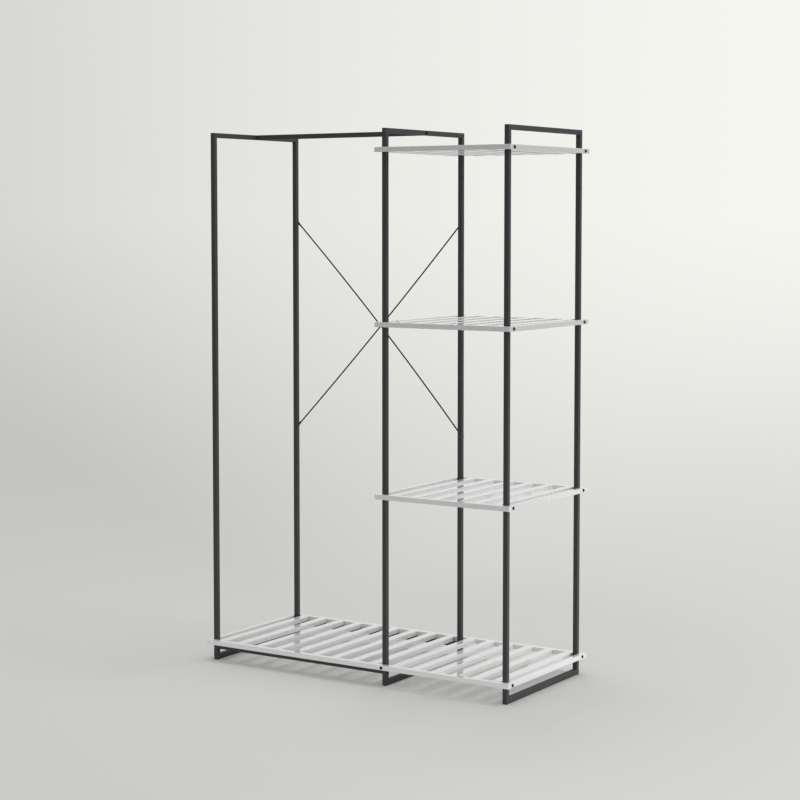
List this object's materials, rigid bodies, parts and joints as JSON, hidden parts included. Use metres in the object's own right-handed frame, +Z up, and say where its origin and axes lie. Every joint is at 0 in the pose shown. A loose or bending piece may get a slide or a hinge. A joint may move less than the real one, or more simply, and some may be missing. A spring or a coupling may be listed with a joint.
{
  "type": "open frame wardrobe",
  "caption": "Free-standing open wardrobe: dark square-tube frames, a hanging rail, a bowed cross brace and white slatted shelves for hung and folded clothes.",
  "frame": {"origin": "on the floor, in the middle of the overall width and depth", "axes": "+X to the right seen from the front, +Y from front to rear, +Z up"},
  "size_m": [1.234, 0.5515, 1.859],
  "materials": {
    "frame_paint": "charcoal powder coat, fine matt texture",
    "brace_paint": "charcoal powder coat on round rod",
    "white_lacquer": "white satin lacquer on solid wood",
    "black_bolts": "black oxide with a light oil sheen",
    "plated_steel": "zinc plated",
    "glide_plastic": "moulded black plastic"
  },
  "bodies": {
    "root": {"bottom_shelf_front_rail": "white_lacquer", "bottom_shelf_left_rail": "white_lacquer", "bottom_shelf_rear_rail": "white_lacquer", "bottom_shelf_right_rail": "white_lacquer", "bottom_shelf_slats": "white_lacquer", "bottom_shelf_wide_bay_slats": "white_lacquer", "brace_bolts": "black_bolts", "brace_nuts": "plated_steel", "brace_rod_falling": "brace_paint", "brace_rod_rising": "brace_paint", "foot_glides": "glide_plastic", "front_rail_middle_bolts": "black_bolts", "front_rail_middle_nuts": "plated_steel", "front_stretcher": "frame_paint", "hanging_rail": "frame_paint", "hanging_rail_plugs": "plated_steel", "left_frame_base_bar": "frame_paint", "left_frame_front_post": "frame_paint", "left_frame_rear_post": "frame_paint", "left_frame_shelf_bolts": "black_bolts", "left_frame_shelf_nuts": "plated_steel", "left_frame_top_bar": "frame_paint", "left_hanging_rail_bolt": "black_bolts", "left_stretcher_bolts": "black_bolts", "lower_shelf_front_rail": "white_lacquer", "lower_shelf_left_rail": "white_lacquer", "lower_shelf_rear_rail": "white_lacquer", "lower_shelf_right_rail": "white_lacquer", "lower_shelf_slats": "white_lacquer", "middle_frame_base_bar": "frame_paint", "middle_frame_front_post": "frame_paint", "middle_frame_rear_post": "frame_paint", "middle_frame_shelf_bolts": "black_bolts", "middle_frame_shelf_nuts": "plated_steel", "middle_frame_top_bar": "frame_paint", "middle_shelf_front_rail": "white_lacquer", "middle_shelf_left_rail": "white_lacquer", "middle_shelf_rear_rail": "white_lacquer", "middle_shelf_right_rail": "white_lacquer", "middle_shelf_slats": "white_lacquer", "rear_rail_middle_bolts": "black_bolts", "rear_rail_middle_nuts": "plated_steel", "rear_stretcher": "frame_paint", "right_frame_base_bar": "frame_paint", "right_frame_front_post": "frame_paint", "right_frame_rear_post": "frame_paint", "right_frame_shelf_bolts": "black_bolts", "right_frame_shelf_nuts": "plated_steel", "right_frame_top_bar": "frame_paint", "right_hanging_rail_bolt": "black_bolts", "right_stretcher_bolts": "black_bolts", "stretcher_plugs": "plated_steel", "top_shelf_front_rail": "white_lacquer", "top_shelf_left_rail": "white_lacquer", "top_shelf_rear_rail": "white_lacquer", "top_shelf_right_rail": "white_lacquer", "top_shelf_slats": "white_lacquer"}
  },
  "joints": []
}
